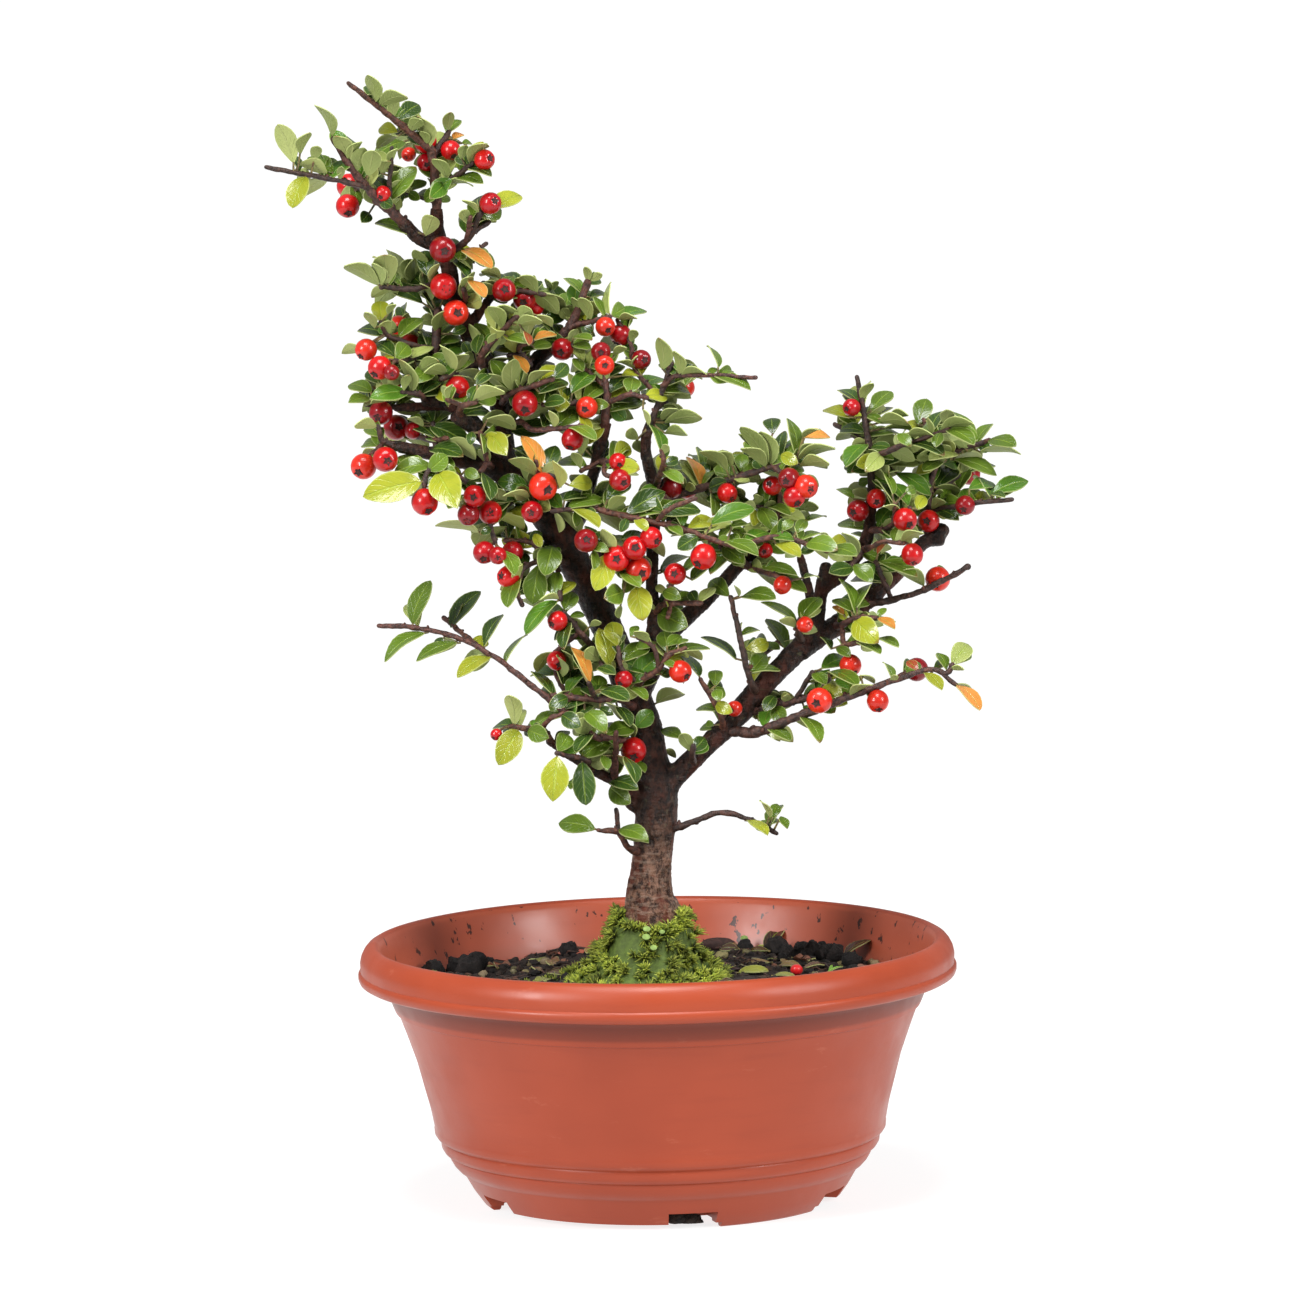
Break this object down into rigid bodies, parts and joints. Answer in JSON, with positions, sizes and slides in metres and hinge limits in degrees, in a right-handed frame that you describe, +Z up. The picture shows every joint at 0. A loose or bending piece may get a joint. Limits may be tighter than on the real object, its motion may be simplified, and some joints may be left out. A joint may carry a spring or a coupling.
{
  "type": "bonsai tree in a pot",
  "caption": "Small-leaved bonsai with red berries, its bent trunk forking into a tall left and a wide right crown, growing with moss in a round terracotta-coloured bowl.",
  "frame": {"origin": "centre of the bowl's foot, on the surface that it stands on", "axes": "+Z up; the front of the tree, as the picture shows it, faces -Y, and +X is to its right"},
  "size_m": [0.2253, 0.18, 0.3399],
  "materials": {
    "bark": "rough, damp grey-brown bark with reddish patches",
    "foliage": "satin small green leaves on thin reddish twigs, with glossy red berries",
    "terracotta": "satin terracotta-coloured plastic",
    "soil": "matt, dark, fibrous potting soil",
    "moss": "matt, tufted, yellow-green moss",
    "pod": "matt, dry seed pod",
    "berry": "glossy ripe berry"
  },
  "bodies": {
    "root": {"trunk_and_limbs": "bark", "spray_crown_tip": "foliage", "spray_crown_right": "foliage", "spray_upper_left": "foliage", "spray_left_high": "foliage", "spray_left_stem": "foliage", "spray_leader_front": "foliage", "spray_stub_fruit": "foliage", "spray_stub_foot": "foliage", "spray_leader_brown": "foliage", "spray_arm_front": "foliage", "spray_leader_low": "foliage", "spray_arm_end": "foliage", "spray_centre": "foliage", "spray_upright_top": "foliage", "spray_upright_side": "foliage", "spray_right_pad": "foliage", "spray_front_shoot": "foliage", "spray_slant_end": "foliage", "spray_slant_front": "foliage", "spray_upright_fruit": "foliage", "spray_inner_front": "foliage", "spray_trunk_left": "foliage", "spray_limb_elbow": "foliage", "spray_leader_back": "foliage", "spray_centre_side": "foliage", "spray_left_pad_end": "foliage", "spray_left_pad_low": "foliage", "spray_left_pad_top": "foliage", "spray_leader_hang": "foliage", "spray_under_elbow": "foliage", "spray_stub_end": "foliage", "spray_arm_left_end": "foliage", "spray_arm_left_top": "foliage", "spray_trunk_low_front": "foliage", "spray_trunk_mid_front": "foliage", "spray_trunk_right": "foliage", "spray_right_limb_left": "foliage", "spray_right_limb_rise": "foliage", "spray_right_limb_top": "foliage", "spray_right_arm_front": "foliage", "spray_low_right": "foliage", "spray_low_right_top": "foliage", "spray_right_side": "foliage", "spray_right_top": "foliage", "spray_far_right": "foliage", "spray_right_inner": "foliage", "spray_right_inner_low": "foliage", "spray_limb_underside": "foliage", "spray_low_left_shoot": "foliage", "spray_low_left": "foliage", "spray_low_left_riser": "foliage", "spray_low_left_hang": "foliage", "spray_foot_left": "foliage", "spray_foot_right": "foliage", "bowl": "terracotta", "soil": "soil", "moss": "moss", "seed_pod": "pod", "fallen_berry": "berry"}
  },
  "joints": []
}
